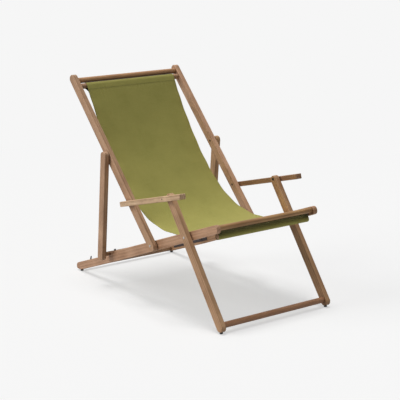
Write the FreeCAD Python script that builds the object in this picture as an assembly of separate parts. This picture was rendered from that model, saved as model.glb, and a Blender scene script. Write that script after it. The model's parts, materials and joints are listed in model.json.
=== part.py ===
"""Folding lounge chair: wooden deck chair with armrests, a rear prop and a canvas sling.

Millimetres. The chair faces -Y, +Z is up, and the sitter's left is +X.
Every frame member is drawn in the side plane (Y, Z) and given its width along X.
Three layers lie side by side: base rails inside, back rails and legs in the middle,
armrests and props outside.
"""
import FreeCAD, Part
import math
import os

V = FreeCAD.Vector

# Layers across the chair, from the sling outwards
sling_width = 460.0
sling_side_gap = 7.0
base_thick = 20.0
layer_gap = 2.0
mid_thick = 22.0
prop_thick = 22.0
arm_width = 30.0
running_gap = 0.3
edge_round = 2.5

# Base rails, sloping up to the front
base_slope = 20.2
base_depth = 45.0
base_taper_from_nose = 255.0
base_front_depth = 34.4
base_front_rise = 8.8
base_tail_drop = 10.0
base_tail_reach = 12.0
base_nose_to_back_pivot = 621.0
back_to_leg_pivot = 246.0
leg_pivot_to_front = 189.0
pivot_rise = 6.0

# Back rails
back_angle = 47.0
back_depth = 36.0
back_length = 840.0
back_foot_overhang = 8.0
top_bar_from_end = 11.0
top_rod_spacing = 30.5

# Four-bar of base, back, armrest and leg; its pivots come into line when folded flat
arm_pivot_on_back = 211.0
arm_pivot_span = 282.0

# Armrests, hung a little below their pivots
arm_thick = 21.5
arm_drop = 3.0
arm_rear_overhang = 26.0
arm_front_overhang = 121.0

# Legs
leg_depth = 36.0
leg_bar_rise = 7.5
leg_top_drop = 3.5

# Prop frame
prop_depth = 36.0
prop_pivot_on_back = 444.0
prop_foot_overhang = 6.0
prop_seat_from_nose = 263.0
prop_seat_drop = 4.0
prop_seat_run = 60.0

# Round bars
top_bar_radius = 12.0
top_rod_radius = 12.0
leg_bar_radius = 12.0
prop_bar_radius = 9.0
rear_bar_radius = 11.5
rear_bar_drop = 3.0
socket_depth = 13.0
socket_clearance = 0.05

# Front bar, sling bar and the loose rod at the front
front_bar_radius = 11.0
front_bar_rise = 11.8
front_bar_from_end = 17.5
sling_bar_radius = 10.0
sling_bar_from_end = 46.5
sling_bar_rise = 4.0
sling_rod_radius = 10.5
sling_rod_gap = 1.0
sling_rod_end_gap = 1.5

# Sling; it bends at these shares of the chord between its two bars, this far below the chord
sling_thick = 1.6
sling_clear = 0.4
sling_bend_shares = [0.197, 0.48, 0.694, 0.917]
sling_bend_sags = [129.5, 240.0, 240.0, 106.5]

# Pivot hardware
bolt_radius = 3.0
bolt_clearance = 0.05
open_pivot_clearance = 2.0
dome_radius = 5.0
dome_height = 2.5
dome_round = 2.0
cap_radius = 5.0
cap_height = 4.0
cap_recess = 5.0
cap_clearance = 0.6
cap_socket_radius = 2.5
cap_socket_depth = 2.5
blind_depth = 12.0
nut_radius = 6.0
nut_depth = 6.0
washer_radius = 9.0
plug_radius = 3.0
plug_depth = 6.0

# Steel racks on the base rails
rack_thick = 3.0
rack_height = 16.0
rack_drop = 3.0
rack_tooth_width = 11.0
rack_tooth_lean = 11.0
rack_tooth_pitch = 80.0
rack_tooth_heights = [5.0, 14.0]
rack_first_tooth = 116.0
rack_front_tab = 19.0
rack_tab_gap = 3.0
rack_end = 18.0
rack_screw_radius = 2.0
rack_screw_head_radius = 4.0
rack_screw_head = 1.8
rack_screw_length = 14.0

# Rubber foot pads
pad_height = 7.5
pad_embed = 1.5
pad_radius = 6.5

# How far a cutter runs past the face it opens, and the size of the cutter under the feet
cut_past = 1.0
cut_below = 4000.0

# Layer places
base_inner = sling_width / 2 + sling_side_gap
base_outer = base_inner + base_thick
mid_inner = base_outer + layer_gap
mid_outer = mid_inner + mid_thick
outer_inner = mid_outer + layer_gap
prop_outer = outer_inner + prop_thick
arm_outer = outer_inner + arm_width
washer_thick = layer_gap - running_gap


def polar(angle):
    """Unit direction in the side plane, as (y, z)."""
    return (math.cos(math.radians(angle)), math.sin(math.radians(angle)))


def along(point, direction, distance):
    return (point[0] + direction[0] * distance, point[1] + direction[1] * distance)


def distance(p, q):
    return math.hypot(q[0] - p[0], q[1] - p[1])


def midpoint(p, q):
    return ((p[0] + q[0]) / 2, (p[1] + q[1]) / 2)


def unit(p, q):
    length = distance(p, q)
    return ((q[0] - p[0]) / length, (q[1] - p[1]) / length)


def left_of(direction):
    """The direction turned a quarter turn from +Y towards +Z."""
    return (-direction[1], direction[0])


# Side-plane construction, first with the back pivot at y = 0
forward = polar(180.0 - base_slope)
rail_up = polar(90.0 - base_slope)
base_tail_depth = base_depth - base_tail_drop
tail_radius = base_tail_depth / 2
tail_offset = -base_tail_drop / 2
tail_end = -base_tail_reach - tail_radius
tail_round = tail_radius - edge_round / 2
shelf = base_depth / 2 - base_tail_drop
seat_floor = shelf - prop_seat_drop


class Side:
    """The pivots and centre points of the side view."""

    def __init__(self):
        nose_z = pad_height - pad_embed + tail_radius
        self.origin = (0.0, 0.0)
        nose = self.rail_point(0.0, tail_offset)
        pivot = self.rail_point(base_nose_to_back_pivot, pivot_rise)
        self.origin = (-pivot[0], nose_z - nose[1])
        self.settle()
        front = self.leg_end[0] - leg_depth / 2
        tail = self.rail_point(-base_tail_reach, tail_offset)
        rear = max(tail[0] + tail_radius, self.back_end[0] + back_depth / 2)
        self.origin = (self.origin[0] - (front + rear) / 2, self.origin[1])
        self.settle()

    def rail_point(self, s, h):
        """A point at s along the base rail from its rear nose, and h above its centre line."""
        return along(along(self.origin, forward, s), rail_up, h)

    def settle(self):
        self.nose = self.rail_point(0.0, tail_offset)
        self.back_pivot = self.rail_point(base_nose_to_back_pivot, pivot_rise)
        self.leg_pivot = self.rail_point(base_nose_to_back_pivot + back_to_leg_pivot, pivot_rise)
        self.back_dir = polar(back_angle)
        self.back_end = along(self.back_pivot, self.back_dir, back_length)
        self.arm_rear = along(self.back_pivot, self.back_dir, arm_pivot_on_back)
        leg_upper = back_to_leg_pivot + arm_pivot_on_back - arm_pivot_span
        self.arm_front = circles_meet(self.leg_pivot, leg_upper, self.arm_rear, arm_pivot_span)
        self.leg_dir = unit(self.leg_pivot, self.arm_front)
        leg_end_z = pad_height - pad_embed + leg_depth / 2
        drop = (self.leg_pivot[1] - leg_end_z) / self.leg_dir[1]
        self.leg_end = along(self.leg_pivot, self.leg_dir, -drop)
        self.prop_pivot = along(self.back_pivot, self.back_dir, prop_pivot_on_back)
        self.prop_foot = self.rail_point(prop_seat_from_nose, seat_floor + prop_bar_radius + running_gap)


def circles_meet(a, radius_a, b, radius_b):
    """The upper meeting point of two circles in the side plane."""
    span = distance(a, b)
    u = unit(a, b)
    foot = (span ** 2 + radius_a ** 2 - radius_b ** 2) / (2 * span)
    height = math.sqrt(radius_a ** 2 - foot ** 2)
    return along(along(a, u, foot), left_of(u), height)


side = Side()
rail_end = base_nose_to_back_pivot + back_to_leg_pivot + leg_pivot_to_front


# Shape helpers
def at(point, x=0.0):
    return V(x, point[0], point[1])


def segment(p, q):
    return Part.LineSegment(at(p), at(q)).toShape()


def arc(p, middle, q):
    return Part.Arc(at(p), at(middle), at(q)).toShape()


def prism(edges, x0, x1):
    """A closed side-plane outline as a solid from x0 to x1."""
    face = Part.Face(Part.Wire(edges))
    solid = face.extrude(V(x1 - x0, 0, 0))
    solid.translate(V(x0, 0, 0))
    return solid


def eased(solid, radius):
    """Round the outline edges of a member, on both of its side faces."""
    outline = [e for e in solid.Edges if e.BoundBox.XLength < 1e-6]
    return solid.makeFillet(radius, outline)


def pin(point, radius, x0, x1):
    return Part.makeCylinder(radius, x1 - x0, at(point, x0), V(1, 0, 0))


def stadium(p, q, depth):
    """Outline of a bar with round ends centred on p and q."""
    u = unit(p, q)
    n = left_of(u)
    r = depth / 2
    return [
        segment(along(p, n, -r), along(q, n, -r)),
        arc(along(q, n, -r), along(q, u, r), along(q, n, r)),
        segment(along(q, n, r), along(p, n, r)),
        arc(along(p, n, r), along(p, u, -r), along(p, n, -r)),
    ]


def outline(points):
    """Closed outline of straight edges."""
    return [segment(p, points[(i + 1) % len(points)]) for i, p in enumerate(points)]


def rounded_outline(corners):
    """Closed outline through (point, radius) corners, each rounded by a tangent arc."""
    edges = []
    ends = []
    for i, (corner, radius) in enumerate(corners):
        before = corners[i - 1][0]
        after = corners[(i + 1) % len(corners)][0]
        u = unit(before, corner)
        w = unit(corner, after)
        half_turn = 0.5 * math.acos(u[0] * w[0] + u[1] * w[1])
        reach = radius * math.tan(half_turn)
        start = along(corner, u, -reach)
        stop = along(corner, w, reach)
        if radius > 0:
            bulge = radius / math.cos(half_turn) - radius
            inward = unit(corner, midpoint(start, stop))
            edges.append(arc(start, along(corner, inward, bulge), stop))
        ends.append((start, stop))
    for i, (start, stop) in enumerate(ends):
        edges.append(segment(stop, ends[(i + 1) % len(ends)][0]))
    return Part.__sortEdges__(edges)


def member(edges, x0, x1):
    return eased(prism(edges, x0, x1), min(edge_round, 0.3 * (x1 - x0)))


def mirrored(shape):
    return shape.mirror(V(0, 0, 0), V(1, 0, 0))


def both(shape):
    """The left piece and its mirror image, as one group of separate solids."""
    return Part.makeCompound([shape, mirrored(shape)])


def below(height):
    """Everything under a level, for cutting feet flat."""
    corner = V(-cut_below / 2, -cut_below / 2, height - cut_below)
    return Part.makeBox(cut_below, cut_below, cut_below, corner)


parts = {}


def add_pair(name, shape):
    parts[name + "_left"] = shape
    parts[name + "_right"] = mirrored(shape)


def bar_point(drop_from_end):
    return along(side.back_end, side.back_dir, -drop_from_end)


# Places of the cross bars
top_bar = bar_point(top_bar_from_end)
top_rod = bar_point(top_bar_from_end + top_rod_spacing)
leg_bar = along(side.leg_end, side.leg_dir, leg_bar_rise)
front_bar = side.rail_point(rail_end - front_bar_from_end, front_bar_rise)
sling_bar = side.rail_point(rail_end - sling_bar_from_end, sling_bar_rise)
rear_bar = side.rail_point(0.0, tail_offset - rear_bar_drop)
sling_bar_mid = sling_bar_radius + sling_clear + sling_thick / 2
bar_to_rod = sling_bar_radius + sling_rod_gap + sling_rod_radius + sling_clear + sling_thick
sling_rod_fall = math.sqrt(bar_to_rod ** 2 - sling_bar_mid ** 2)
sling_rod = (sling_bar[0] - sling_bar_mid, sling_bar[1] - sling_rod_fall)
hole_radius = bolt_radius + bolt_clearance
base_bars = [(front_bar, front_bar_radius), (sling_bar, sling_bar_radius), (rear_bar, rear_bar_radius)]


def base_rail_outline():
    """Tapered on its underside to a round front end, with a seat for the prop's bar and a low tail behind it."""
    half = base_depth / 2
    front_half = base_front_depth / 2
    front_round = front_half - edge_round / 2
    reach = prop_bar_radius + running_gap
    wall = prop_seat_from_nose + reach
    seat_rear = prop_seat_from_nose - reach
    corners = [
        (tail_end, -half, tail_round),
        (base_taper_from_nose, -half, 0),
        (rail_end, base_front_rise - front_half, front_round),
        (rail_end, base_front_rise + front_half, front_round),
        (wall, half, 0),
        (wall, seat_floor, reach),
        (seat_rear, seat_floor, 0),
        (seat_rear - prop_seat_run, shelf, 0),
        (tail_end, shelf, tail_round),
    ]
    return rounded_outline([(side.rail_point(s, h), r) for s, h, r in corners])


def through(point, radius, x0, x1):
    """A round cutter that runs out of both faces."""
    return pin(point, radius, x0 - cut_past, x1 + cut_past)


def into(point, radius, face, depth):
    """A round cutter for a blind hole in a member's inner face."""
    return pin(point, radius, face - cut_past, face + depth)


def socket(point, radius, face):
    return into(point, radius + socket_clearance, face, socket_depth)


def make_base_rails():
    rail = member(base_rail_outline(), base_inner, base_outer)
    rail = rail.cut(below(pad_height))
    for pivot in (side.back_pivot, side.leg_pivot):
        rail = rail.cut(through(pivot, hole_radius, base_inner, base_outer))
        rail = rail.cut(into(pivot, nut_radius + bolt_clearance, base_inner, nut_depth))
    for bar, radius in base_bars:
        rail = rail.cut(socket(bar, radius, base_inner))
    for centre in rack_screw_places():
        rail = rail.cut(into(centre, rack_screw_radius, base_inner, rack_screw_length))
    add_pair("base_rail", rail)


def rack_screw_places():
    """Three screws along the rack, on its centre line."""
    middle = seat_floor - rack_drop - rack_height / 2
    run = rack_first_tooth + rack_tooth_pitch
    return [side.rail_point(prop_seat_from_nose - run * i / 2, middle) for i in range(3)]


def rack_outline():
    """A flat steel strip below the seat, with a tab in front of the bar and teeth that lean forward."""
    top = seat_floor - rack_drop
    bottom = top - rack_height
    tab_rear = prop_seat_from_nose + prop_bar_radius + rack_tab_gap
    tab_front = tab_rear + rack_tooth_width
    front = tab_front + rack_end
    p = side.rail_point
    points = [p(front, bottom), p(front, top), p(tab_front, top), p(tab_front, shelf + rack_front_tab)]
    points += [p(tab_rear, shelf + rack_front_tab), p(tab_rear, top)]
    tooth = prop_seat_from_nose - rack_first_tooth
    for height in rack_tooth_heights:
        lean = rack_tooth_lean * height / max(rack_tooth_heights)
        points += [
            p(tooth, top),
            p(tooth + lean, shelf + height),
            p(tooth + lean - rack_tooth_width / 2, shelf + height),
            p(tooth - rack_tooth_width, top),
        ]
        tooth -= rack_tooth_pitch
    rear = tooth + rack_tooth_pitch - rack_tooth_width - rack_end
    points += [p(rear, top), p(rear, bottom)]
    return outline(points)


def make_racks():
    plate = prism(rack_outline(), base_inner - rack_thick, base_inner)
    screws = []
    for centre in rack_screw_places():
        plate = plate.cut(through(centre, rack_screw_radius, base_inner - rack_thick, base_inner))
        shank = pin(centre, rack_screw_radius, base_inner - rack_thick, base_inner + rack_screw_length)
        head_x = base_inner - rack_thick - rack_screw_head
        head = pin(centre, rack_screw_head_radius, head_x, base_inner - rack_thick)
        screws.append(shank.fuse(head))
    add_pair("rack", plate)
    parts["rack_screws"] = both(Part.makeCompound(screws))


def make_back_rails():
    foot = along(side.back_pivot, side.back_dir, -back_foot_overhang)
    rail = member(stadium(foot, side.back_end, back_depth), mid_inner, mid_outer)
    rail = rail.cut(through(side.back_pivot, hole_radius, mid_inner, mid_outer))
    for pivot in (side.arm_rear, side.prop_pivot):
        rail = rail.cut(through(pivot, hole_radius, mid_inner, mid_outer))
        rail = rail.cut(into(pivot, cap_radius + bolt_clearance, mid_inner, cap_recess))
    rail = rail.cut(socket(top_bar, top_bar_radius, mid_inner))
    rail = rail.cut(socket(top_rod, top_rod_radius, mid_inner))
    add_pair("back_rail", rail)


def make_legs():
    leg_top = along(side.arm_front, side.leg_dir, -leg_top_drop)
    leg = member(stadium(side.leg_end, leg_top, leg_depth), mid_inner, mid_outer)
    leg = leg.cut(below(pad_height))
    leg = leg.cut(through(side.leg_pivot, hole_radius, mid_inner, mid_outer))
    open_radius = bolt_radius + open_pivot_clearance
    leg = leg.cut(through(side.arm_front, open_radius, mid_inner, mid_outer))
    recess_radius = cap_radius + open_pivot_clearance
    leg = leg.cut(into(side.arm_front, recess_radius, mid_inner, cap_recess + cap_clearance))
    leg = leg.cut(socket(leg_bar, leg_bar_radius, mid_inner))
    add_pair("leg", leg)


def make_armrests():
    u = unit(side.arm_rear, side.arm_front)
    n = left_of(u)
    rear = along(along(side.arm_rear, u, -arm_rear_overhang), n, arm_drop)
    front = along(along(side.arm_front, u, arm_front_overhang), n, arm_drop)
    plug_place = along(side.arm_front, n, arm_drop)
    half = arm_thick / 2
    corners = [along(rear, n, -half), along(front, n, -half), along(front, n, half), along(rear, n, half)]
    rest = prism(outline(corners), outer_inner, arm_outer)
    rest = rest.makeFillet(edge_round, rest.Edges)
    for pivot in (side.arm_rear, side.arm_front):
        rest = rest.cut(into(pivot, hole_radius, outer_inner, blind_depth))
    rest = rest.cut(pin(plug_place, plug_radius, arm_outer - plug_depth, arm_outer + cut_past))
    add_pair("armrest", rest)
    add_pair("armrest_plug", pin(plug_place, plug_radius, arm_outer - plug_depth, arm_outer))


def make_props():
    down = unit(side.prop_pivot, side.prop_foot)
    foot = along(side.prop_foot, down, prop_foot_overhang)
    prop = member(stadium(side.prop_pivot, foot, prop_depth), outer_inner, prop_outer)
    prop = prop.cut(into(side.prop_pivot, hole_radius, outer_inner, blind_depth))
    prop = prop.cut(socket(side.prop_foot, prop_bar_radius, outer_inner))
    add_pair("prop_leg", prop)


def make_bars():
    """Cross bars, each ending in the sockets of its two side members."""
    mid_end = mid_inner + socket_depth
    base_end = base_inner + socket_depth
    parts["top_bar"] = pin(top_bar, top_bar_radius, -mid_end, mid_end)
    parts["sling_top_rod"] = pin(top_rod, top_rod_radius, -mid_end, mid_end)
    parts["leg_cross_bar"] = pin(leg_bar, leg_bar_radius, -mid_end, mid_end)
    prop_end = outer_inner + socket_depth
    parts["prop_cross_bar"] = pin(side.prop_foot, prop_bar_radius, -prop_end, prop_end)
    for name, (bar, radius) in zip(("front_bar", "sling_bar", "rear_bar"), base_bars):
        parts[name] = pin(bar, radius, -base_end, base_end)
    rod_end = sling_width / 2 - sling_rod_end_gap
    parts["sling_rod"] = pin(sling_rod, sling_rod_radius, -rod_end, rod_end)


def cap_screw(pivot, tip):
    """A screw with a round head sunk in the member's inner face, and a hexagon socket in the head."""
    head_end = mid_inner + cap_recess
    face = head_end - cap_height
    screw = pin(pivot, cap_radius, face, head_end).fuse(pin(pivot, bolt_radius, head_end, tip))
    corners = [along(pivot, polar(60.0 * i), cap_socket_radius) for i in range(6)]
    return screw.cut(prism(outline(corners), face, face + cap_socket_depth))


def make_pivot_bolts():
    """Dome-headed bolts at the base, recessed cap screws at the armrests and props."""
    for name, pivot in (("back", side.back_pivot), ("leg", side.leg_pivot)):
        head_x = mid_outer + running_gap
        shank = pin(pivot, bolt_radius, base_inner + nut_depth / 2, head_x)
        head = pin(pivot, dome_radius, head_x, head_x + dome_height)
        rim = [e for e in head.Edges if abs(e.BoundBox.XMax - head_x - dome_height) < 1e-6
               and e.BoundBox.XLength < 1e-6]
        head = head.makeFillet(dome_round, rim)
        parts[name + "_pivot_bolts"] = both(shank.fuse(head))
        nut = pin(pivot, nut_radius, base_inner, base_inner + nut_depth)
        nut = nut.cut(pin(pivot, bolt_radius, base_inner + nut_depth / 2, base_inner + nut_depth))
        parts[name + "_pivot_nuts"] = both(nut)
        washer = pin(pivot, washer_radius, base_outer, base_outer + washer_thick)
        washer = washer.cut(pin(pivot, hole_radius, base_outer, base_outer + washer_thick))
        parts[name + "_pivot_washers"] = both(washer)
    for name, pivot in (("arm", side.arm_rear), ("prop", side.prop_pivot)):
        parts[name + "_pivot_bolts"] = both(cap_screw(pivot, outer_inner + blind_depth - running_gap))
        washer = pin(pivot, washer_radius, mid_outer, mid_outer + washer_thick)
        washer = washer.cut(pin(pivot, hole_radius, mid_outer, mid_outer + washer_thick))
        parts[name + "_pivot_washers"] = both(washer)


def make_front_arm_bolts():
    """The armrest's front screws run through wide holes in the legs, and turn with the armrests."""
    pivot = side.arm_front
    add_pair("armrest_bolt", cap_screw(pivot, outer_inner + blind_depth))
    washer = pin(pivot, washer_radius, outer_inner - washer_thick, outer_inner)
    washer = washer.cut(pin(pivot, hole_radius, outer_inner - washer_thick, outer_inner))
    add_pair("armrest_washer", washer)


def make_feet():
    """Rubber pads under the rails and legs, which are cut flat to meet them."""
    for name, place, x0, x1 in (
        ("rear_foot", side.nose, base_inner, base_outer),
        ("front_foot", side.leg_end, mid_inner, mid_outer),
    ):
        middle = V((x0 + x1) / 2, place[0], 0)
        pad = Part.makeCylinder(pad_radius, pad_height, middle, V(0, 0, 1))
        add_pair(name, pad)


class Path:
    """A line of straight runs and arcs in the side plane, thickened into a strip."""

    def __init__(self):
        self.runs = []

    def line(self, p, q):
        self.runs.append(("line", p, None, q, None))

    def arc(self, centre, p, q):
        """An arc under half a circle from p to q."""
        middle = along(centre, unit(centre, midpoint(p, q)), distance(centre, p))
        self.runs.append(("arc", p, middle, q, centre))

    def length(self):
        return sum(edge.Length for edge in self.edges(0.0))

    def edges(self, offset):
        """The runs moved sideways, to the left of travel for a positive offset."""
        moved = []
        for kind, p, middle, q, centre in self.runs:
            if kind == "line":
                n = left_of(unit(p, q))
                moved.append(segment(along(p, n, offset), along(q, n, offset)))
            else:
                turn = (p[0] - centre[0]) * (q[1] - p[1]) - (p[1] - centre[1]) * (q[0] - p[0])
                grow = -offset if turn > 0 else offset
                shift = [along(c, unit(centre, c), grow) for c in (p, middle, q)]
                moved.append(arc(*shift))
        return moved

    def strip(self, thick, x0, x1):
        left = self.edges(thick / 2)
        right = self.edges(-thick / 2)
        start = Part.LineSegment(right[0].Vertexes[0].Point, left[0].Vertexes[0].Point).toShape()
        end = Part.LineSegment(left[-1].Vertexes[-1].Point, right[-1].Vertexes[-1].Point).toShape()
        ring = Part.__sortEdges__(left + right + [start, end])
        return prism(ring, x0, x1)


def rounded_route(path, points):
    """Run along the points, with the largest tangent arc at each corner."""
    here = points[0]
    for i in range(1, len(points) - 1):
        before = points[i - 1] if i == 1 else midpoint(points[i - 1], points[i])
        after = points[i + 1] if i == len(points) - 2 else midpoint(points[i], points[i + 1])
        corner = points[i]
        reach = min(distance(before, corner), distance(corner, after))
        u = unit(before, corner)
        w = unit(corner, after)
        half_turn = 0.5 * math.acos(u[0] * w[0] + u[1] * w[1])
        radius = reach / math.tan(half_turn)
        start = along(corner, u, -reach)
        stop = along(corner, w, reach)
        centre = along(start, left_of(u), -radius)
        if distance(here, start) > 1e-6:
            path.line(here, start)
        path.arc(centre, start, stop)
        here = stop
    if distance(here, points[-1]) > 1e-6:
        path.line(here, points[-1])


def tangent_from(point, centre, radius, hand):
    """Where a line from the point touches a circle; hand picks the side."""
    span = distance(centre, point)
    u = unit(centre, point)
    lean = math.acos(radius / span)
    turned = math.atan2(u[1], u[0]) + hand * lean
    return along(centre, (math.cos(turned), math.sin(turned)), radius)


def make_sling():
    """One canvas strip: a sleeve on the top rod, the sag, and a sleeve round the front rod."""
    top_mid = top_rod_radius + sling_clear + sling_thick / 2
    rod_mid = sling_rod_radius + sling_clear + sling_thick / 2
    chord = unit(top_rod, sling_bar)
    sag_dir = left_of(chord)
    span = distance(top_rod, sling_bar)
    bends = []
    for share, sag in zip(sling_bend_shares, sling_bend_sags):
        bends.append(along(along(top_rod, chord, share * span), sag_dir, sag))
    start = tangent_from(bends[0], top_rod, top_mid, -1)
    over = tangent_from(bends[-1], sling_bar, sling_bar_mid, 1)
    path = Path()
    rounded_route(path, [start] + bends + [over])
    leave = (sling_bar[0] - sling_bar_mid, sling_bar[1])
    path.arc(sling_bar, over, leave)
    path.line(leave, (sling_rod[0], sling_rod[1] + rod_mid))
    half = sling_width / 2
    sheet = path.strip(sling_thick, -half, half)
    for centre, inner in ((top_rod, top_rod_radius), (sling_rod, sling_rod_radius)):
        inner_radius = inner + sling_clear
        sleeve = pin(centre, inner_radius + sling_thick, -half, half)
        sheet = sheet.fuse(sleeve).removeSplitter()
        sheet = sheet.cut(through(centre, inner_radius, -half, half))
    parts["sling"] = sheet
    print("sling run between its sleeves: %.0f mm" % path.length())


make_base_rails()
make_racks()
make_back_rails()
make_legs()
make_armrests()
make_props()
make_bars()
make_pivot_bolts()
make_front_arm_bolts()
make_feet()
make_sling()

os.makedirs("parts", exist_ok=True)
for name, shape in parts.items():
    shape.exportStep(os.path.join("parts", name + ".step"))

for name in ("back_pivot", "leg_pivot", "arm_rear", "arm_front", "prop_pivot", "prop_foot"):
    place = getattr(side, name)
    print("%s y %.3f z %.3f" % (name, place[0], place[1]))
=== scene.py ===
"""Looks of the folding lounge chair: oiled wood, olive canvas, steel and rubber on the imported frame.

Metres. The chair faces -Y, +Z is up, and the sitter's left is +X.
"""
import json
import math

import bpy
import numpy as np
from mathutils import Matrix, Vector


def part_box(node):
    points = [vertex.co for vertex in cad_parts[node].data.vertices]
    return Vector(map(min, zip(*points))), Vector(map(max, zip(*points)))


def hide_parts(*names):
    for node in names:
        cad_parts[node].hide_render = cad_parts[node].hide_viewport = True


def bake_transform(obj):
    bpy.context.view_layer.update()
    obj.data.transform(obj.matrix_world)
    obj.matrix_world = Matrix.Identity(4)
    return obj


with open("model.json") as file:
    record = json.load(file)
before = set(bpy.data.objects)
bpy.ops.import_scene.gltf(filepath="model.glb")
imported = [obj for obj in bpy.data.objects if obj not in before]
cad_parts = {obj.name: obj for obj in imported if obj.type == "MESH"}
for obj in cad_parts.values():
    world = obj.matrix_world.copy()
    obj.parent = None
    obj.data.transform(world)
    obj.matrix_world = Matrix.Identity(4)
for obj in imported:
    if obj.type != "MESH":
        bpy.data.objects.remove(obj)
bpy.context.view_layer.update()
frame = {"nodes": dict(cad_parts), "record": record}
nodes = frame["nodes"]

# Camera, at the photograph's viewing angle: angles in degrees, lens and sensor in millimetres
camera_place = (-3.1023, -4.1028, 1.6334)
camera_yaw = 37.32
camera_pitch = 13.634
camera_lens = 113.5
camera_sensor = 36.0

# Light: each lamp by the direction it shines from, its level, and how broad it is in degrees
backdrop_white = 0.9216
sky_level = 0.12
lamps = {
    "overhead": {"from": (0.0, 0.16, 0.987), "level": 2.20, "angle": 24.0},
    "side": {"from": (-0.80, 0.36, 0.42), "level": 1.46, "angle": 36.0},
}

# Floor: its share of plain backdrop colour near the chair, and the grey that it throws back at the chair
floor_glow = 0.58
floor_bounce = 0.52
floor_radius = 9.0
floor_sides = 96
floor_clear_radius = 1.6
floor_fade_radius = 3.2

# Sling: the bends of its line, as in the solid, then how it is sewn
sling_width = 0.460
sling_bend_shares = [0.197, 0.48, 0.694, 0.917]
sling_bend_sags = [0.1295, 0.240, 0.240, 0.1065]
cloth_thick = 0.0009
layer_step = 0.00105
rod_to_cloth = 0.0016
side_hem = 0.014
hem_seam_inset = 0.003
sleeve_seam_drop = 0.026
sleeve_flap = 0.008
front_seam_drop = 0.0035
bar_stretch = 0.03

# Mesh of the sling
row_step = 0.0045
column_step = 0.0046
hem_steps = 4
fold_steps = 6

# Unevenness of the hung cloth: heights and reaches in metres, rates in radians a metre
slow_wave_height = 0.0011
slow_waves = [
    {"share": 1.0, "across": 9.0, "along": 14.0, "phase": 0.4},
    {"share": 0.7, "across": -17.0, "along": 9.0, "phase": 1.9},
]
edge_wave_height = 0.0012
edge_wave_rate = 58.0
edge_wave_shift = 3.0
edge_wave_power = 6
top_fade = 0.05
front_fade = 0.10
pucker_height = 0.00055
pucker_reach = 0.016
pucker_rate = 430.0
pucker_wander = 2.2
pucker_wander_rate = 61.0
pucker_swell = 0.35
pucker_swell_rate = 37.0
pucker_swell_phase = 1.0
seam_dip = 0.0007
seam_dip_reach = 0.0022
hem_dip = 0.00045
hem_dip_reach = 0.0016
flap_lift_from = 0.90
flap_lift_over = 0.05
flap_lift_past = 0.01

# Stitching: each stitch is drawn as (place along its half length, share of its radius)
stitch_pitch = 0.0042
stitch_length = 0.0031
stitch_radius = 0.00042
stitch_proud = 0.3
stitch_sides = 6
stitch_profile = [(-1.0, 0.15), (-0.92, 0.62), (-0.55, 1.0), (0.55, 1.0), (0.92, 0.62), (1.0, 0.15)]
stitch_end_gap = 0.006
seam_spacing = 0.006


# Materials

sharp_turn = 0.82
edge_samples = 4
hollow_samples = 8


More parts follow.
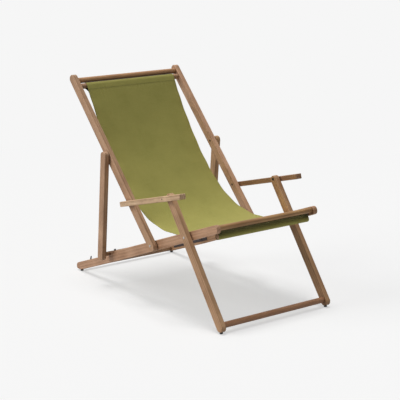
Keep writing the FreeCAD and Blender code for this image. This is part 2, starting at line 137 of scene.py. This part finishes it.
class Shader:
    """A new material's node tree, with short calls to add nodes and join them."""

    def __init__(self, name):
        self.material = bpy.data.materials.new(name)
        self.material.use_nodes = True
        self.tree = self.material.node_tree
        self.surface = self.tree.nodes["Principled BSDF"]

    def add(self, kind, **settings):
        node = self.tree.nodes.new("ShaderNode" + kind)
        for key, value in settings.items():
            setattr(node, key, value)
        return node

    def join(self, source, target):
        self.tree.links.new(source, target)

    def number(self, operation, a, b=None):
        """A Math node on sockets or plain numbers."""
        node = self.add("Math", operation=operation)
        for place, value in enumerate((a, b)):
            if isinstance(value, bpy.types.NodeSocket):
                self.join(value, node.inputs[place])
            elif value is not None:
                node.inputs[place].default_value = value
        return node.outputs[0]

    def total(self, parts):
        """The sum of (socket, weight) parts."""
        result = None
        for socket, weight in parts:
            part = self.number("MULTIPLY", socket, weight)
            result = part if result is None else self.number("ADD", result, part)
        return result

    def noise(self, vector, scale, detail=3.0, roughness=0.5):
        node = self.add("TexNoise")
        self.join(vector, node.inputs["Vector"])
        node.inputs["Scale"].default_value = scale
        node.inputs["Detail"].default_value = detail
        node.inputs["Roughness"].default_value = roughness
        return node.outputs["Fac"]

    def wave(self, vector, kind, direction, scale, distortion=0.0, detail=2.0):
        node = self.add("TexWave", wave_type=kind)
        if kind == "RINGS":
            node.rings_direction = direction
        else:
            node.bands_direction = direction
        self.join(vector, node.inputs["Vector"])
        node.inputs["Scale"].default_value = scale
        node.inputs["Distortion"].default_value = distortion
        node.inputs["Detail"].default_value = detail
        return node.outputs["Fac"]

    def ramp(self, value, stops):
        """A colour ramp through (place, colour) stops."""
        node = self.add("ValToRGB")
        elements = node.color_ramp.elements
        while len(elements) < len(stops):
            elements.new(0.5)
        for element, (place, colour) in zip(elements, stops):
            element.position = place
            element.color = (*colour, 1.0)
        self.join(value, node.inputs["Fac"])
        return node.outputs["Color"]

    def spread(self, value, low, high, to_low, to_high):
        """A Map Range node, held at its ends."""
        node = self.add("MapRange")
        self.join(value, node.inputs["Value"])
        limits = ("From Min", "From Max", "To Min", "To Max")
        for name, limit in zip(limits, (low, high, to_low, to_high)):
            node.inputs[name].default_value = limit
        return node.outputs["Result"]

    def mix(self, kind, factor, first, second):
        """A colour mix of sockets or plain colours."""
        node = self.add("Mix", data_type="RGBA", blend_type=kind)
        colours = [socket for socket in node.inputs if socket.type == "RGBA"]
        places = [node.inputs["Factor"]] + colours
        for place, value in zip(places, (factor, first, second)):
            if isinstance(value, bpy.types.NodeSocket):
                self.join(value, place)
            elif isinstance(value, tuple):
                place.default_value = (*value, 1.0)
            else:
                place.default_value = value
        return next(socket for socket in node.outputs if socket.type == "RGBA")

    def bump(self, height, strength, distance):
        node = self.add("Bump")
        node.inputs["Strength"].default_value = strength
        node.inputs["Distance"].default_value = distance
        self.join(height, node.inputs["Height"])
        self.join(node.outputs["Normal"], self.surface.inputs["Normal"])

    def edges(self, radius):
        """1 on a sharp edge or corner, 0 on a flat face."""
        bevel = self.add("Bevel", samples=edge_samples)
        bevel.inputs["Radius"].default_value = radius
        geometry = self.add("NewGeometry")
        turn = self.add("VectorMath", operation="DOT_PRODUCT")
        self.join(bevel.outputs["Normal"], turn.inputs[0])
        self.join(geometry.outputs["Normal"], turn.inputs[1])
        return self.spread(turn.outputs["Value"], 1.0, sharp_turn, 0.0, 1.0)

    def hollows(self, reach, open_share, shut_share):
        """0 where the share of open sky within reach is open_share or more, 1 where it is shut_share."""
        node = self.add("AmbientOcclusion", samples=hollow_samples)
        node.inputs["Distance"].default_value = reach
        return self.spread(node.outputs["AO"], open_share, shut_share, 0.0, 1.0)

    def colour(self, source):
        self.join(source, self.surface.inputs["Base Color"])

    def roughness(self, source):
        self.join(source, self.surface.inputs["Roughness"])


def long_axis(obj):
    """The direction in which a member is longest."""
    points = np.array([v.co for v in obj.data.vertices])
    spread = np.cov((points - points.mean(0)).T)
    return Vector(np.linalg.eigh(spread)[1][:, -1])


wood_light = (0.540, 0.330, 0.190)
wood_mid = (0.414, 0.235, 0.126)
wood_dark = (0.284, 0.151, 0.074)
# Pore colour, also the colour that the painted shade darkens the wood towards
wood_pore_and_shade = (0.130, 0.070, 0.040)
wood_worn = (0.600, 0.425, 0.285)
wood_edge = 0.0035
grain_stretch = 22.0
grain_shift = 0.35
# Painted shade: the wood is darkened in hollows and where members meet, standing in for contact shadow;
# its strength, then the reach and open shares of the darkening
wood_painted_shade_strength = 0.6
wood_painted_shade_hollows = {"reach": 0.025, "open_share": 0.85, "shut_share": 0.25}

# Each member's wood colour beside the rest, scaled per channel: partly each board's own tone, partly
# painted light and shade, most of all on the much lighter near armrest and the much darker far armrest
wood_tints = {
    "armrest_right": (1.68, 2.04, 2.30),
    "armrest_left": (0.71, 0.65, 0.57),
    "back_rail_right": (1.08, 1.10, 1.12),
    "back_rail_left": (1.38, 1.41, 1.52),
    "prop_leg_right": (1.23, 1.29, 1.40),
    "prop_leg_left": (1.34, 1.39, 1.20),
    "base_rail_right": (1.12, 1.10, 1.15),
    "base_rail_left": (1.10, 1.08, 1.06),
    "leg_right": (1.12, 1.14, 1.09),
    "leg_left": (0.98, 0.94, 0.81),
    "front_bar": (0.94, 0.89, 0.60),
    "leg_cross_bar": (0.78, 0.64, 0.54),
    "top_bar": (1.02, 0.91, 0.72),
}


def oiled_wood(obj, seed):
    """Oiled hardwood whose grain runs along the member, cut from its own part of the log."""
    rng = np.random.default_rng(seed)
    tint = wood_tints.get(obj.name, (1.0, 1.0, 1.0))
    light, mid, dark = (
        tuple(t * c for t, c in zip(tint, tone)) for tone in (wood_light, wood_mid, wood_dark)
    )
    shader = Shader("oiled_wood_" + obj.name)
    coordinates = shader.add("TexCoord")
    mapping = shader.add("Mapping", vector_type="TEXTURE")
    turn = Vector((0, 1, 0)).rotation_difference(long_axis(obj))
    mapping.inputs["Rotation"].default_value = turn.to_euler()
    mapping.inputs["Location"].default_value = rng.uniform(-grain_shift, grain_shift, 3)
    mapping.inputs["Scale"].default_value = (1.0, grain_stretch, 1.0)
    shader.join(coordinates.outputs["Object"], mapping.inputs["Vector"])
    grain = mapping.outputs["Vector"]

    rings = shader.wave(grain, "RINGS", "Y", 30.0, 5.0, 3.0)
    streaks = shader.noise(grain, 210.0, 4.0, 0.6)
    broad = shader.noise(grain, 28.0, 2.0)
    patches = shader.noise(coordinates.outputs["Object"], 11.0, 2.0)
    fibres = shader.noise(grain, 1300.0, 2.0, 0.7)
    pores = shader.spread(shader.noise(grain, 820.0, 2.0), 0.62, 0.70, 0.0, 1.0)

    tone = shader.total([(rings, 0.15), (streaks, 0.46), (broad, 0.52), (patches, 0.52)])
    tone = shader.number("ADD", tone, rng.uniform(-0.36, -0.30))
    colour = shader.ramp(tone, [(0.28, dark), (0.46, mid), (0.66, light)])
    colour = shader.mix("MULTIPLY", shader.spread(fibres, 0.3, 0.7, 0.28, 0.0), colour, wood_light)
    colour = shader.mix("MIX", shader.number("MULTIPLY", pores, 0.55), colour, wood_pore_and_shade)
    streaky = shader.spread(streaks, 0.35, 0.65, 0.1, 0.55)
    wear = shader.number("MULTIPLY", shader.edges(wood_edge), streaky)
    colour = shader.mix("MIX", wear, colour, wood_worn)
    # Painted shade: darker in hollows and next to other parts, where shade falls
    painted_shade = shader.number("MULTIPLY", shader.hollows(**wood_painted_shade_hollows), wood_painted_shade_strength)
    shader.colour(shader.mix("MULTIPLY", painted_shade, colour, wood_pore_and_shade))
    shader.roughness(shader.spread(streaks, 0.3, 0.7, 0.62, 0.46))
    height = shader.number("SUBTRACT", fibres, shader.number("MULTIPLY", pores, 0.8))
    shader.bump(height, 0.35, 0.0004)
    return shader.material


canvas_light = (0.424, 0.386, 0.109)
canvas_mid = (0.369, 0.342, 0.090)
canvas_shade = (0.292, 0.280, 0.068)
# Painted shade: the colour that the canvas darkens towards in hollows, deepest on the top of the front
# roll under the front bar
canvas_painted_shade_colour = (0.04, 0.036, 0.024)
canvas_sheen = (0.75, 0.74, 0.45, 1.0)
canvas_edge = 0.0015
# Strength, reach and open shares of that painted shade
canvas_painted_shade_strength = 1.0
canvas_painted_shade_hollows = {"reach": 0.04, "open_share": 0.95, "shut_share": 0.58}
slub_stretch = 30.0
thread_pitch = 0.0011
thread_dark = (0.27, 0.25, 0.075)
thread_light = (0.42, 0.39, 0.14)

# The length of one wave of a wave texture at scale 1
wave_period = math.pi / 10


def canvas():
    """Plain-woven cotton canvas; the UV map is the cloth laid flat, in metres."""
    shader = Shader("olive_canvas")
    flat = shader.add("UVMap", uv_map="flat").outputs["UV"]
    warp = shader.wave(flat, "BANDS", "X", wave_period / thread_pitch)
    weft = shader.wave(flat, "BANDS", "Y", wave_period / thread_pitch)
    weave = shader.number("MULTIPLY", warp, weft)

    slubs = []
    for stretch in ((1.0, slub_stretch, 1.0), (slub_stretch, 1.0, 1.0)):
        mapping = shader.add("Mapping", vector_type="TEXTURE")
        mapping.inputs["Scale"].default_value = stretch
        shader.join(flat, mapping.inputs["Vector"])
        slubs.append(shader.noise(mapping.outputs["Vector"], 620.0, 3.0, 0.6))
    slub = shader.number("ADD", slubs[0], slubs[1])
    cloud = shader.noise(flat, 9.0, 4.0, 0.6)

    tone = shader.total([(slub, 0.35), (cloud, 0.5), (weave, 0.3)])
    colour = shader.ramp(tone, [(0.4, canvas_shade), (0.62, canvas_mid), (0.9, canvas_light)])
    worn = shader.number("MULTIPLY", shader.edges(canvas_edge), 0.3)
    colour = shader.mix("MIX", worn, colour, canvas_light)
    # Painted shade: darker in hollows, such as under the front bar and the top rod, where shade falls
    painted_shade = shader.number("MULTIPLY", shader.hollows(**canvas_painted_shade_hollows), canvas_painted_shade_strength)
    shader.colour(shader.mix("MULTIPLY", painted_shade, colour, canvas_painted_shade_colour))
    shader.surface.inputs["Roughness"].default_value = 0.88
    shader.surface.inputs["Specular IOR Level"].default_value = 0.25
    shader.surface.inputs["Sheen Weight"].default_value = 0.12
    shader.surface.inputs["Sheen Roughness"].default_value = 0.5
    shader.surface.inputs["Sheen Tint"].default_value = canvas_sheen
    height = shader.number("ADD", weave, shader.number("MULTIPLY", slub, 0.7))
    shader.bump(height, 0.5, 0.00035)
    return shader.material


def thread():
    """Twisted sewing thread, a little lighter than the canvas."""
    shader = Shader("olive_thread")
    place = shader.add("TexCoord").outputs["Object"]
    twist = shader.noise(place, 2600.0, 2.0)
    shader.colour(shader.ramp(twist, [(0.3, thread_dark), (0.7, thread_light)]))
    shader.surface.inputs["Roughness"].default_value = 0.7
    shader.surface.inputs["Sheen Weight"].default_value = 0.2
    shader.bump(twist, 0.4, 0.0002)
    return shader.material


metal_edge = 0.0008
metal_stretch = (1.0, 14.0, 6.0)


def metal(name, colour, spots, rough, metallic=1.0):
    """Steel with fine scratches, duller spots and brighter edges."""
    shader = Shader(name)
    place = shader.add("TexCoord").outputs["Object"]
    mapping = shader.add("Mapping", vector_type="TEXTURE")
    mapping.inputs["Scale"].default_value = metal_stretch
    shader.join(place, mapping.inputs["Vector"])
    scratches = shader.noise(mapping.outputs["Vector"], 2200.0, 3.0, 0.7)
    dull = shader.noise(place, 160.0, 3.0)
    shade = shader.ramp(dull, [(0.35, spots), (0.6, colour)])
    bright = tuple(min(1.0, 1.5 * c + 0.05) for c in colour)
    worn = shader.number("MULTIPLY", shader.edges(metal_edge), 0.7)
    shader.colour(shader.mix("MIX", worn, shade, bright))
    shader.surface.inputs["Metallic"].default_value = metallic
    shader.roughness(shader.spread(scratches, 0.3, 0.7, rough - 0.1, rough + 0.12))
    shader.bump(scratches, 0.15, 0.0001)
    return shader.material


def moulded(name, colour, rough, grain):
    """Rubber or nylon with a fine moulded grain and dusty patches."""
    shader = Shader(name)
    place = shader.add("TexCoord").outputs["Object"]
    fine = shader.noise(place, grain, 2.0)
    dust = shader.noise(place, 120.0, 4.0, 0.65)
    dusty = tuple(0.8 * c + 0.03 for c in colour)
    shader.colour(shader.ramp(dust, [(0.4, colour), (0.75, dusty)]))
    shader.roughness(shader.spread(dust, 0.3, 0.7, rough - 0.08, rough + 0.08))
    shader.bump(fine, 0.25, 0.0002)
    return shader.material


def dress_nodes():
    """Each solid keeps its shape and gets the finish of its record slot."""
    finishes = {
        "bright_steel": metal("bright_steel", (0.50, 0.45, 0.41), (0.36, 0.31, 0.27), 0.42),
        "dark_steel": metal("dark_steel", (0.075, 0.070, 0.066), (0.045, 0.040, 0.036), 0.46, 0.85),
        "rack_steel": metal("rack_steel", (0.036, 0.021, 0.018), (0.022, 0.013, 0.011), 0.6, 0.0),
        "washer_nylon": moulded("washer_nylon", (0.030, 0.029, 0.028), 0.5, 900.0),
        "foot_rubber": moulded("foot_rubber", (0.018, 0.018, 0.018), 0.78, 700.0),
    }
    slots = {part["node"]: part["material_slot"] for part in frame["record"]["subparts"]}
    for seed, name in enumerate(sorted(nodes)):
        slot = slots[name]
        if slot == "canvas":
            continue
        obj = nodes[name]
        finish = finishes.get(slot) or oiled_wood(obj, seed)
        obj.data.materials.clear()
        obj.data.materials.append(finish)


# Sling

def across(centre, angle, radius):
    """A point at an angle round a centre, in the side plane (y, z)."""
    return centre + radius * np.array([math.cos(angle), math.sin(angle)])


def round_bar(node):
    """Centre in the side plane and radius of a round bar."""
    low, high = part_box(node)
    centre = (low + high) / 2
    return np.array([centre.y, centre.z]), (high.z - low.z) / 2


def touch_angle(point, centre, radius, hand):
    """The angle at which a line from the point touches a circle; hand picks the side."""
    offset = point - centre
    return math.atan2(offset[1], offset[0]) + hand * math.acos(radius / np.linalg.norm(offset))


def arc_points(centre, radius, start, stop, count=40):
    """Points round a circle from one angle to another."""
    return [across(centre, a, radius) for a in np.linspace(start, stop, count)]


def bezier_run(points, count=60):
    """A smooth run between the end points, drawn towards each bend."""
    run = []
    for i in range(1, len(points) - 1):
        before = points[0] if i == 1 else (points[i - 1] + points[i]) / 2
        after = points[-1] if i == len(points) - 2 else (points[i] + points[i + 1]) / 2
        for t in np.linspace(0.0, 1.0, count):
            run.append((1 - t) ** 2 * before + 2 * t * (1 - t) * points[i] + t ** 2 * after)
    return run


def even_steps(points, step):
    """The line resampled at even steps, with the length along it at each point."""
    points = np.array(points)
    lengths = np.concatenate([[0], np.cumsum(np.linalg.norm(np.diff(points, axis=0), axis=1))])
    count = int(round(lengths[-1] / step)) + 1
    places = np.linspace(0, lengths[-1], count)
    line = np.column_stack([np.interp(places, lengths, points[:, k]) for k in range(2)])
    return line, places


class SlingLine:
    """The cloth's line in the side plane, from the flap behind the top rod to the front sleeve's end."""

    def __init__(self):
        top, top_radius = round_bar("sling_top_rod")
        bar, bar_radius = round_bar("sling_bar")
        rod, rod_radius = round_bar("sling_rod")
        top_line = top_radius + rod_to_cloth
        bar_line = bar_radius + rod_to_cloth
        rod_line = rod_radius + rod_to_cloth

        chord = (bar - top) / np.linalg.norm(bar - top)
        sag = np.array([-chord[1], chord[0]])
        span = np.linalg.norm(bar - top)
        bends = [top + chord * share * span + sag * drop
                 for share, drop in zip(sling_bend_shares, sling_bend_sags)]

        front_touch = touch_angle(bends[0], top, top_line, -1)
        start = across(top, front_touch, top_line)
        down = (bends[0] - start) / np.linalg.norm(bends[0] - start)
        back = np.array([-down[1], down[0]])
        seam = start + down * sleeve_seam_drop + back * layer_step
        flap_end = seam + down * sleeve_flap
        back_touch = touch_angle(seam, top, top_line, 1)
        sleeve = arc_points(top, top_line, back_touch, front_touch + 2 * math.pi)
        flap = [flap_end, seam]

        over = touch_angle(bends[-1], bar, bar_line, 1)
        main = bezier_run([start] + bends + [across(bar, over, bar_line)])
        over_bar = arc_points(bar, bar_line, over, math.pi)
        front_seam = over_bar[-1] - np.array([0.0, front_seam_drop])
        rear_seam = front_seam + np.array([layer_step, 0.0])
        rod_front = touch_angle(front_seam, rod, rod_line, 1)
        rod_rear = touch_angle(rear_seam, rod, rod_line, -1) + 2 * math.pi
        round_rod = arc_points(rod, rod_line, rod_front, rod_rear)
        tail = [front_seam] + round_rod + [rear_seam]

        self.line, self.places = even_steps(flap + sleeve + main[1:] + over_bar + tail, row_step)
        smooth = self.line.copy()
        smooth[1:-1] = (self.line[:-2] + 2 * self.line[1:-1] + self.line[2:]) / 4
        self.line = smooth
        heading = np.gradient(self.line, axis=0)
        heading /= np.linalg.norm(heading, axis=1)[:, None]
        self.up = np.column_stack([heading[:, 1], -heading[:, 0]])
        self.length = self.places[-1]
        self.flap_stop = np.linalg.norm(flap_end - seam)
        sleeve_run = top_line * (front_touch + 2 * math.pi - back_touch)
        climb = np.linalg.norm(sleeve[0] - seam)
        self.top_seam = self.flap_stop + climb + sleeve_run + sleeve_seam_drop
        self.top_edge = self.top_seam - sleeve_seam_drop
        tail_length = np.sum(np.linalg.norm(np.diff(np.array(tail), axis=0), axis=1))
        self.front_seam = self.length - tail_length

    def at(self, x, v, lift):
        """Points of the cloth at x across and v along, lifted off its line."""
        base = [np.interp(v, self.places, self.line[:, k]) for k in range(2)]
        up = [np.interp(v, self.places, self.up[:, k]) for k in range(2)]
        lift = lift + self.drape(x, v)
        return np.stack([x + 0 * v, base[0] + up[0] * lift, base[1] + up[1] * lift], axis=-1)

    def drape(self, x, v):
        """Small unevenness of hung canvas: slow waves, wavy edges and puckers at the sewn sleeves."""
        edge = np.clip(np.abs(x) / (sling_width / 2), 0, 1)
        below_top = np.clip((v - self.top_seam) / top_fade, 0, 1)
        behind_bar = np.clip((self.front_seam - bar_stretch - v) / front_fade, 0, 1)
        free = below_top * behind_bar

        slow = sum(w["share"] * np.sin(w["across"] * x + w["along"] * v + w["phase"]) for w in slow_waves)
        wavy = np.sin(edge_wave_rate * v + edge_wave_shift * np.sign(x)) * edge ** edge_wave_power
        lift = free * (slow_wave_height * slow + edge_wave_height * wavy)

        ridge = np.sin(pucker_rate * x + pucker_wander * np.sin(pucker_wander_rate * x))
        swell = np.sin(pucker_swell_rate * x + pucker_swell_phase)
        ridge = ridge * (1 - pucker_swell + pucker_swell * swell)
        below = np.exp(-np.clip(v - self.top_seam, 0, None) / pucker_reach)
        above = np.clip((v - self.top_edge) / sleeve_seam_drop, 0, 1)
        lift = lift + pucker_height * ridge * below * above

        to_seam = v - self.top_seam
        lift = lift - seam_dip * np.exp(-(to_seam / seam_dip_reach) ** 2)
        to_hem = np.abs(x) - sling_width / 2 + side_hem - hem_seam_inset
        lift = lift - hem_dip * np.exp(-(to_hem / hem_dip_reach) ** 2) * free
        flap_edge = np.clip((edge - flap_lift_from) / flap_lift_over, 0, 1)
        on_flap = v < self.flap_stop + flap_lift_past
        return lift + np.where(on_flap, 2 * layer_step * flap_edge, 0.0)


def cloth_section():
    """Across the cloth: (x, lift) from one folded-under side hem to the other."""
    half = sling_width / 2
    fold = layer_step / 2
    hem_step = (side_hem - fold) / hem_steps
    hem = [(half - side_hem + i * hem_step, -layer_step) for i in range(hem_steps + 1)]
    turn = [(half - fold + fold * math.sin(a), -fold - fold * math.cos(a))
            for a in np.linspace(0, math.pi, fold_steps + 1)[1:-1]]
    count = int(round(sling_width / column_step))
    middle = [(x, 0.0) for x in np.linspace(half - fold, -half + fold, count)]
    right = hem + turn
    left = [(-x, lift) for x, lift in reversed(right)]
    return np.array(right + middle + left)


def grid_faces(rows, columns):
    """Four-sided faces of a grid of points."""
    faces = []
    for r in range(rows - 1):
        for c in range(columns - 1):
            a = r * columns + c
            faces.append((a, a + 1, a + columns + 1, a + columns))
    return faces


def new_mesh(name, points, faces, material):
    """A smooth-shaded mesh object in the scene."""
    mesh = bpy.data.meshes.new(name)
    mesh.from_pydata([tuple(p) for p in points], [], faces)
    mesh.materials.append(material)
    mesh.polygons.foreach_set("use_smooth", [True] * len(mesh.polygons))
    obj = bpy.data.objects.new(name, mesh)
    bpy.context.scene.collection.objects.link(obj)
    return obj


def make_sling(line, material):
    """The sling with its folded hems, and its flat width."""
    section = cloth_section()
    rows = len(line.places)
    columns = len(section)
    v = np.repeat(line.places, columns)
    x = np.tile(section[:, 0], rows)
    points = line.at(x, v, np.tile(section[:, 1], rows))
    obj = new_mesh("canvas_sling", points, grid_faces(rows, columns), material)
    run = np.concatenate([[0], np.cumsum(np.linalg.norm(np.diff(section, axis=0), axis=1))])
    flat = np.column_stack([np.tile(run, rows), v])
    layer = obj.data.uv_layers.new(name="flat")
    corners = np.zeros(len(obj.data.loops), int)
    obj.data.loops.foreach_get("vertex_index", corners)
    layer.data.foreach_set("uv", flat[corners].ravel())
    thicken = obj.modifiers.new("cloth_thickness", "SOLIDIFY")
    thicken.thickness = cloth_thick
    thicken.offset = 0.0
    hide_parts("sling")
    return obj, run[-1]


def stitch_rows(line):
    """Every stitch as (x, v, lift, sewn along the length)."""
    half = sling_width / 2
    face = cloth_thick / 2 + stitch_proud * stitch_radius
    under = -layer_step - face
    rows = []
    for seam in (line.top_seam, line.top_seam - seam_spacing, line.front_seam):
        for x in np.arange(-half + stitch_end_gap, half - stitch_end_gap, stitch_pitch):
            rows.append((x, seam, face, False))
    for side in (-1, 1):
        x = side * (half - side_hem + hem_seam_inset)
        for v in np.arange(line.top_seam + stitch_end_gap, line.front_seam - bar_stretch, stitch_pitch):
            rows.append((x, v, face, True))
            rows.append((x, v + stitch_pitch / 2, under, True))
    return rows


def make_stitching(line, material):
    """Rows of short thread lengths, each a small round-ended tube half sunk in the cloth."""
    rings = len(stitch_profile)
    angles = np.linspace(0, 2 * math.pi, stitch_sides, endpoint=False)
    points = []
    faces = []
    for x, v, lift, lengthwise in stitch_rows(line):
        first = len(points)
        for share, width in stitch_profile:
            reach = share * stitch_length / 2
            for angle in angles:
                side = width * stitch_radius * math.cos(angle)
                rise = width * stitch_radius * math.sin(angle)
                dx, dv = (side, reach) if lengthwise else (reach, side)
                points.append((x + dx, v + dv, lift + rise))
        for ring in range(rings - 1):
            for k in range(stitch_sides):
                a = first + ring * stitch_sides + k
                b = first + ring * stitch_sides + (k + 1) % stitch_sides
                faces.append((a, b, b + stitch_sides, a + stitch_sides))
        faces.append(tuple(first + k for k in reversed(range(stitch_sides))))
        last = first + (rings - 1) * stitch_sides
        faces.append(tuple(last + k for k in range(stitch_sides)))
    points = np.array(points)
    placed = line.at(points[:, 0], points[:, 1], points[:, 2])
    obj = new_mesh("sling_stitching", placed, faces, material)
    return obj


def hang_sling():
    """The sewn sling and its stitching, built along the sling's line."""
    line = SlingLine()
    sling, flat_width = make_sling(line, canvas())
    stitching = make_stitching(line, thread())
    for piece in (sling, stitching):
        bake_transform(piece)


# Stage

def make_camera():
    """The camera, at the photograph's viewing angle."""
    camera = bpy.data.objects.new("camera", bpy.data.cameras.new("camera"))
    bpy.context.scene.collection.objects.link(camera)
    camera.location = camera_place
    camera.rotation_euler = (math.radians(90 - camera_pitch), 0.0, math.radians(-camera_yaw))
    camera.data.lens = camera_lens
    camera.data.sensor_width = camera_sensor
    bpy.context.scene.camera = camera


def seen_directly(tree):
    """1 for rays that show the backdrop: from the camera, or mirrored or passed on by the object."""
    path = tree.nodes.new("ShaderNodeLightPath")
    total = path.outputs["Is Camera Ray"]
    for name in ("Is Glossy Ray", "Is Transmission Ray"):
        add = tree.nodes.new("ShaderNodeMath")
        add.operation = "MAXIMUM"
        tree.links.new(total, add.inputs[0])
        tree.links.new(path.outputs[name], add.inputs[1])
        total = add.outputs[0]
    return total


def make_world():
    """A pale backdrop, and weak light from all round."""
    world = bpy.data.worlds.new("studio")
    bpy.context.scene.world = world
    world.use_nodes = True
    tree = world.node_tree
    tree.nodes.clear()
    output = tree.nodes.new("ShaderNodeOutputWorld")
    backdrop = tree.nodes.new("ShaderNodeBackground")
    backdrop.inputs["Color"].default_value = (backdrop_white,) * 3 + (1.0,)
    light = tree.nodes.new("ShaderNodeBackground")
    light.inputs["Strength"].default_value = sky_level
    light.inputs["Color"].default_value = (1.0, 1.0, 1.0, 1.0)
    mix = tree.nodes.new("ShaderNodeMixShader")
    tree.links.new(seen_directly(tree), mix.inputs["Fac"])
    tree.links.new(light.outputs["Background"], mix.inputs[1])
    tree.links.new(backdrop.outputs["Background"], mix.inputs[2])
    tree.links.new(mix.outputs["Shader"], output.inputs["Surface"])


def make_lamps():
    """Broad soft lights, from overhead and from the photograph's left."""
    for name, setting in lamps.items():
        light = bpy.data.lights.new(name, "SUN")
        light.energy = setting["level"]
        light.angle = math.radians(setting["angle"])
        lamp = bpy.data.objects.new(name, light)
        bpy.context.scene.collection.objects.link(lamp)
        lamp.rotation_euler = Vector(setting["from"]).to_track_quat("Z", "Y").to_euler()


def make_floor():
    """A pale round floor that keeps the chair's shadow and melts into the backdrop."""
    angles = np.linspace(0, 2 * math.pi, floor_sides, endpoint=False)
    rim = [across(np.zeros(2), angle, floor_radius) for angle in angles]
    shader = Shader("pale_floor")
    floor = new_mesh("floor", [(x, y, 0.0) for x, y in rim], [tuple(range(len(rim)))], shader.material)
    tree = shader.tree
    shader.colour(shader.mix("MIX", seen_directly(tree), (floor_bounce,) * 3, (backdrop_white,) * 3))
    shader.surface.inputs["Roughness"].default_value = 1.0
    shader.surface.inputs["Specular IOR Level"].default_value = 0.0
    glow = shader.add("Emission")
    glow.inputs["Color"].default_value = (backdrop_white,) * 3 + (1.0,)
    length = shader.add("VectorMath", operation="LENGTH")
    shader.join(shader.add("TexCoord").outputs["Object"], length.inputs[0])
    fade = shader.spread(length.outputs["Value"], floor_clear_radius, floor_fade_radius, floor_glow, 1.0)
    shown = shader.number("MULTIPLY", fade, seen_directly(tree))
    mix = shader.add("MixShader")
    shader.join(shown, mix.inputs["Fac"])
    shader.join(shader.surface.outputs["BSDF"], mix.inputs[1])
    shader.join(glow.outputs["Emission"], mix.inputs[2])
    shader.join(mix.outputs["Shader"], tree.nodes["Material Output"].inputs["Surface"])


make_camera()
make_world()
make_lamps()
make_floor()
dress_nodes()
hang_sling()
bpy.context.scene.view_settings.view_transform = "Standard"
